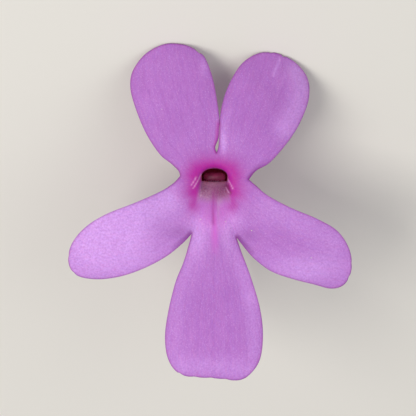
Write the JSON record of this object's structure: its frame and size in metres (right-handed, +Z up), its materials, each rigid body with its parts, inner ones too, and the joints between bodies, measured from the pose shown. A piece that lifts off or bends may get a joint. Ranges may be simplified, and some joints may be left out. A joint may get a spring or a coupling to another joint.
{
  "type": "butterwort flower",
  "caption": "Picked butterwort flower lying on its back: flat mauve lobes round an arched throat, slender spur, two-lipped calyx and a short length of scape.",
  "frame": {"origin": "Centre of the bounding box in x and y, at the height of the surface that the flower lies on.", "axes": "+Z is up from the surface. +Y runs along the length of the flower, towards the scape's cut end and the lower lobe. The face looks up and towards -Y, leaning 33 degrees, with the upper lobe tips on the surface at -Y. +X is on the left when the face is seen with its upper lobes at the top."},
  "size_m": [0.0284, 0.0384, 0.0196],
  "materials": {
    "corolla": "soft petal, velvety with a faint sparkle",
    "calyx": "green flushed with red-brown, finely hairy",
    "scape": "green-brown stalk, satin, finely hairy",
    "pistil": "wine red, satin",
    "stamen": "cream, matt"
  },
  "bodies": {
    "root": {"corolla": "corolla", "calyx": "calyx", "scape": "scape", "pistil": "pistil", "stamen_left": "stamen", "stamen_right": "stamen"}
  },
  "joints": []
}
